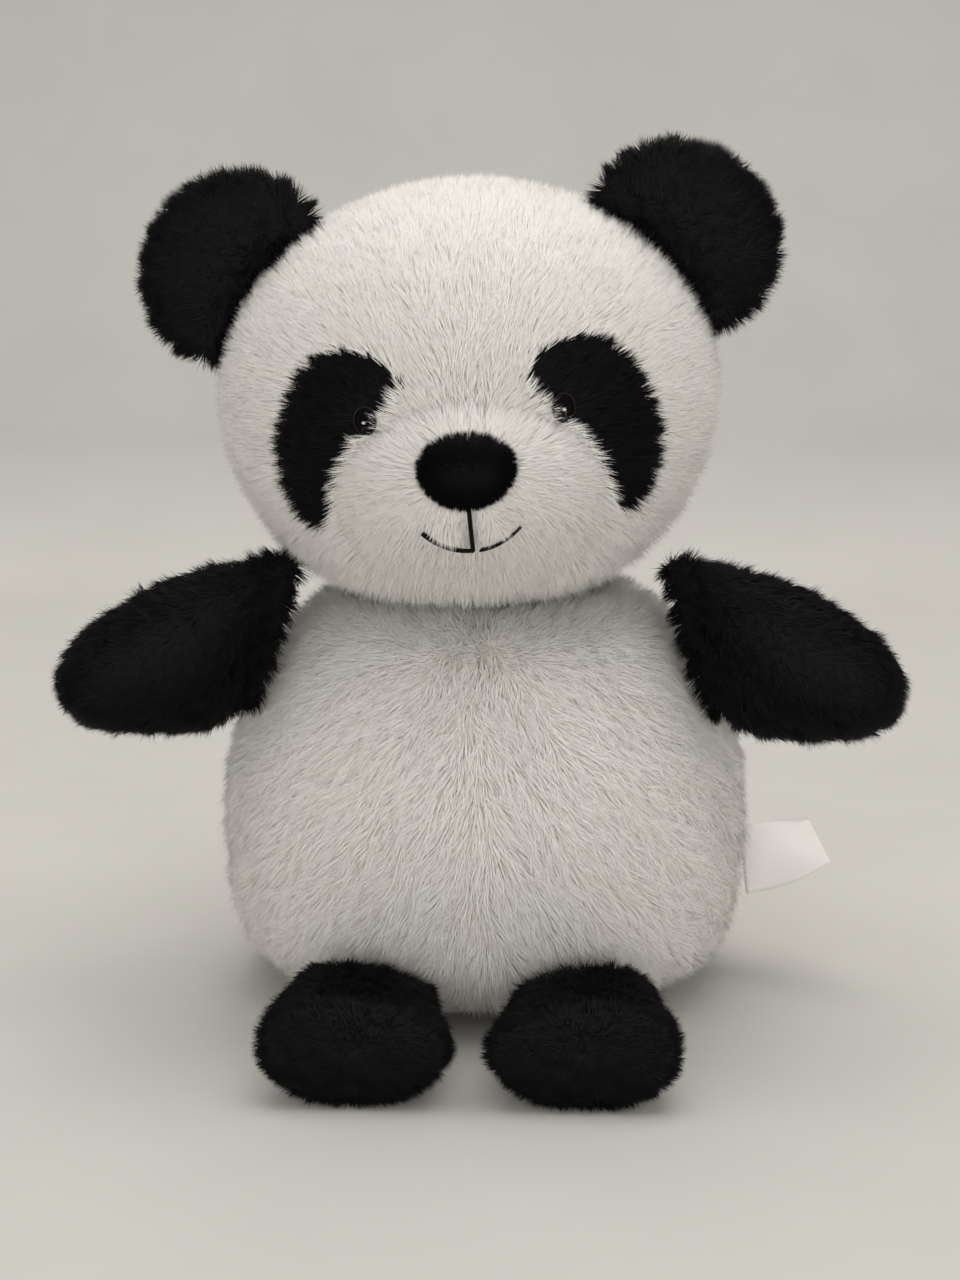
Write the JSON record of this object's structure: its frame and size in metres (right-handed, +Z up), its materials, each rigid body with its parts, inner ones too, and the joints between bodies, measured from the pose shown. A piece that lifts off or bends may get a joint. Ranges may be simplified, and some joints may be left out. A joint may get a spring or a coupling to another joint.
{
  "type": "plush panda",
  "caption": "Sitting plush panda with a big round head, stub arms and feet, an embroidered smile and a blank side label; head, ears, arms and feet flex on their seams.",
  "frame": {"origin": "bottom centre of the whole panda's box, on the surface it sits on", "axes": "+Z up, the face looks along -Y, the panda's arms reach along X; the label is on the +X side"},
  "size_m": [0.2392, 0.1712, 0.2511],
  "materials": {
    "white_plush": "soft long-pile plush fur fabric",
    "black_plush": "soft long-pile plush fur fabric",
    "black_nose_plush": "short dense pile, rounded",
    "embroidery_thread": "satin-stitched polyester thread",
    "polyester_filling": "loose crimped hollow fibre",
    "pouch_cloth": "plain woven cotton",
    "label_ribbon": "white satin ribbon, blank"
  },
  "bodies": {
    "body": {"belly_left": "white_plush", "belly_right": "white_plush", "back_left": "white_plush", "back_right": "white_plush", "seat_panel": "white_plush", "body_filling": "polyester_filling", "pellet_pouch": "pouch_cloth"},
    "neck": {"neck_filling": "polyester_filling"},
    "head": {"forehead": "white_plush", "cheek_left": "white_plush", "cheek_right": "white_plush", "muzzle": "white_plush", "head_back_left": "white_plush", "head_back_right": "white_plush", "head_filling": "polyester_filling", "eye_patch_left": "black_plush", "eye_patch_right": "black_plush", "eye_left": "embroidery_thread", "eye_right": "embroidery_thread", "nose": "black_nose_plush", "mouth_thread": "embroidery_thread"},
    "ear_left": {"ear_front_left": "black_plush", "ear_back_left": "black_plush"},
    "ear_right": {"ear_front_right": "black_plush", "ear_back_right": "black_plush"},
    "arm_left": {"arm_front_left": "black_plush", "arm_back_left": "black_plush", "arm_filling_left": "polyester_filling"},
    "arm_right": {"arm_front_right": "black_plush", "arm_back_right": "black_plush", "arm_filling_right": "polyester_filling"},
    "foot_left": {"foot_upper_left": "black_plush", "foot_sole_left": "black_plush", "foot_filling_left": "polyester_filling"},
    "foot_right": {"foot_upper_right": "black_plush", "foot_sole_right": "black_plush", "foot_filling_right": "polyester_filling"},
    "label": {"side_label": "label_ribbon"}
  },
  "joints": [
    {"name": "head_turn", "type": "hinge", "parent": "body", "child": "neck", "pos_m": [0, 0.01956, 0.114], "axis": [0, 0, 1], "range_deg": [-25, 25], "stiffness_Nm_per_rad": 0.5},
    {"name": "head_nod", "type": "hinge", "parent": "neck", "child": "head", "pos_m": [0, 0.01556, 0.15], "axis": [1, 0, 0], "range_deg": [-8, 8], "stiffness_Nm_per_rad": 0.5},
    {"name": "ear_left_fold", "type": "hinge", "parent": "head", "child": "ear_left", "pos_m": [-0.06779, 0.00396, 0.21417], "axis": [0.6016, 0.0172, 0.7986], "range_deg": [-35, 35], "stiffness_Nm_per_rad": 0.004},
    {"name": "ear_right_fold", "type": "hinge", "parent": "head", "child": "ear_right", "pos_m": [0.05434, 0.00717, 0.22271], "axis": [0.7069, 0.0172, -0.7071], "range_deg": [-35, 35], "stiffness_Nm_per_rad": 0.004},
    {"name": "arm_left_swing", "type": "hinge", "parent": "body", "child": "arm_left", "pos_m": [-0.06336, -0.00603, 0.113], "axis": [0.3019, 0.122, 0.9455], "range_deg": [-35, 50], "stiffness_Nm_per_rad": 0.03},
    {"name": "arm_right_swing", "type": "hinge", "parent": "body", "child": "arm_right", "pos_m": [0.06336, -0.00603, 0.113], "axis": [0.3019, -0.122, -0.9455], "range_deg": [-35, 50], "stiffness_Nm_per_rad": 0.03},
    {"name": "foot_left_lift", "type": "hinge", "parent": "body", "child": "foot_left", "pos_m": [-0.0305, -0.05646, 0.0165], "axis": [-1, 0, 0], "range_deg": [0, 35], "stiffness_Nm_per_rad": 0.05},
    {"name": "foot_right_lift", "type": "hinge", "parent": "body", "child": "foot_right", "pos_m": [0.0305, -0.05646, 0.0165], "axis": [-1, 0, 0], "range_deg": [0, 35], "stiffness_Nm_per_rad": 0.05},
    {"name": "label_flap", "type": "hinge", "parent": "body", "child": "label", "pos_m": [0.07857, 0.01956, 0.04], "axis": [0, 0, -1], "range_deg": [-60, 60], "stiffness_Nm_per_rad": 0.00005}
  ]
}
